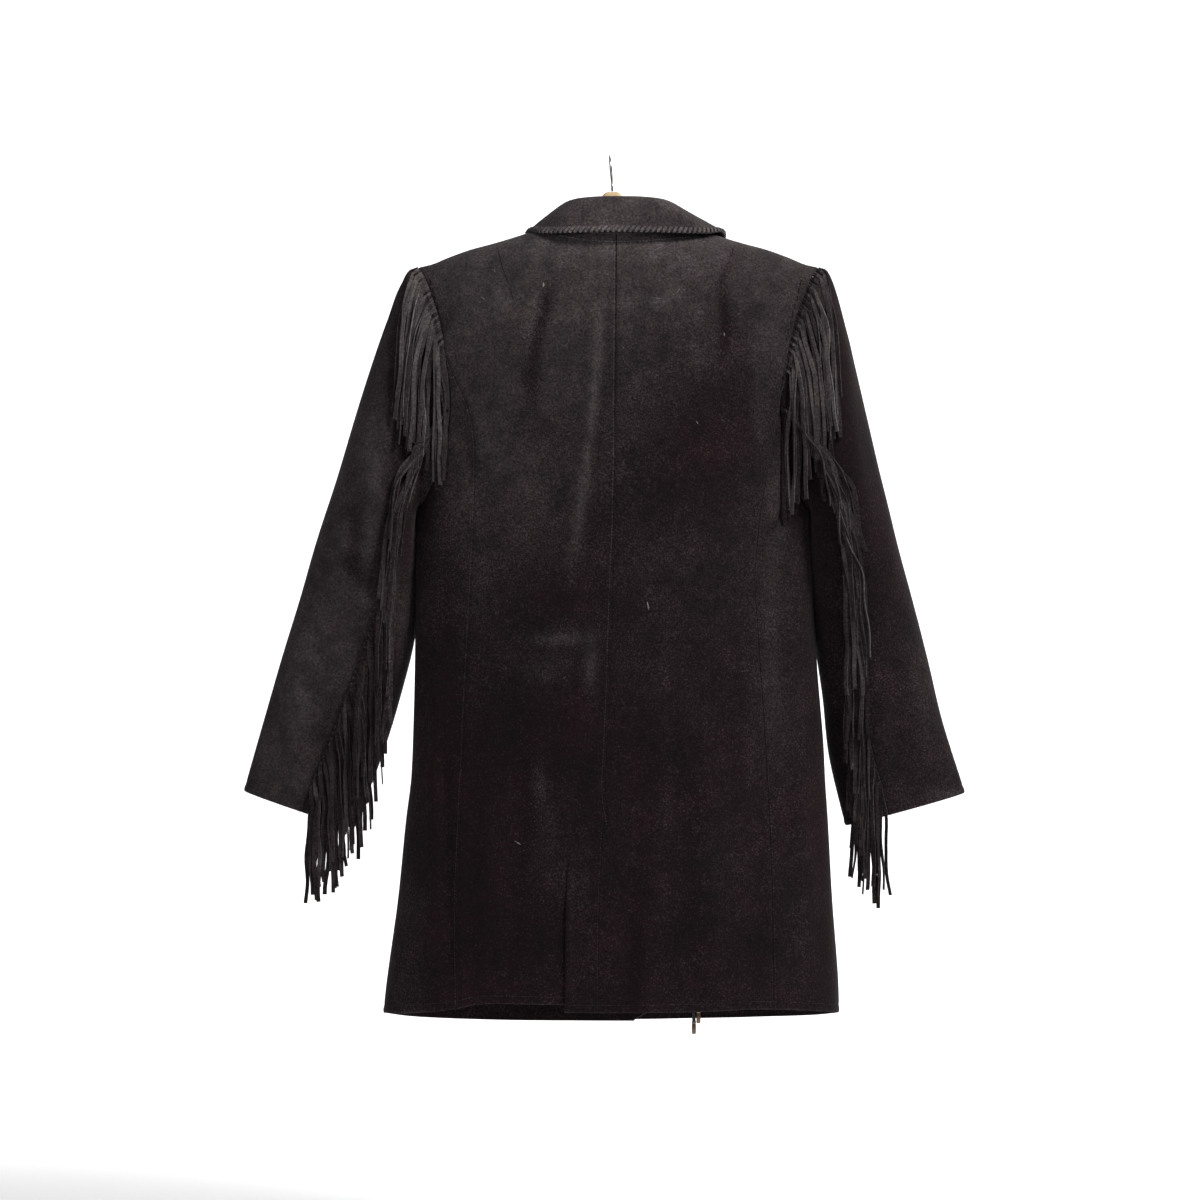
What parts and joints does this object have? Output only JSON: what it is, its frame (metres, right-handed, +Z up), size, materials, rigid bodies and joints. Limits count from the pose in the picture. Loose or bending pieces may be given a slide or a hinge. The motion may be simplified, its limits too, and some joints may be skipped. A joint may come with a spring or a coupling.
{
  "type": "fringed suede jacket on hanger",
  "caption": "Long dark suede jacket with a turned-down collar, a back vent and fringe along the armholes and sleeves, hanging open at neck, cuffs and hem on a wooden hanger.",
  "frame": {"origin": "inside top of the hanger's wire hook, where a rail holds it", "axes": "+Z up, -Y the jacket's front, +Y its back, +X the wearer's left"},
  "size_m": [0.7917, 0.1658, 0.9601],
  "materials": {
    "suede": "napped suede, worn paler at the shoulders",
    "fringe": "cut suede strands",
    "lace": "smooth leather lace",
    "button": "dark polished button",
    "wood": "clear varnished beech",
    "steel": "bright wire"
  },
  "bodies": {
    "root": {"back_left": "suede", "back_right": "suede", "side_left": "suede", "side_right": "suede", "front_left": "suede", "front_right": "suede", "lapel_left": "suede", "lapel_right": "suede", "collar": "suede", "top_sleeve_left": "suede", "top_sleeve_right": "suede", "under_sleeve_left": "suede", "under_sleeve_right": "suede", "armhole_fringe_left": "fringe", "armhole_fringe_right": "fringe", "sleeve_fringe_left": "fringe", "sleeve_fringe_right": "fringe", "button_1": "button", "button_2": "button", "button_3": "button", "hanger": "wood", "hook": "steel", "lace_long": "lace", "lace_short": "lace", "tip_long": "steel", "tip_short": "steel"}
  },
  "joints": []
}
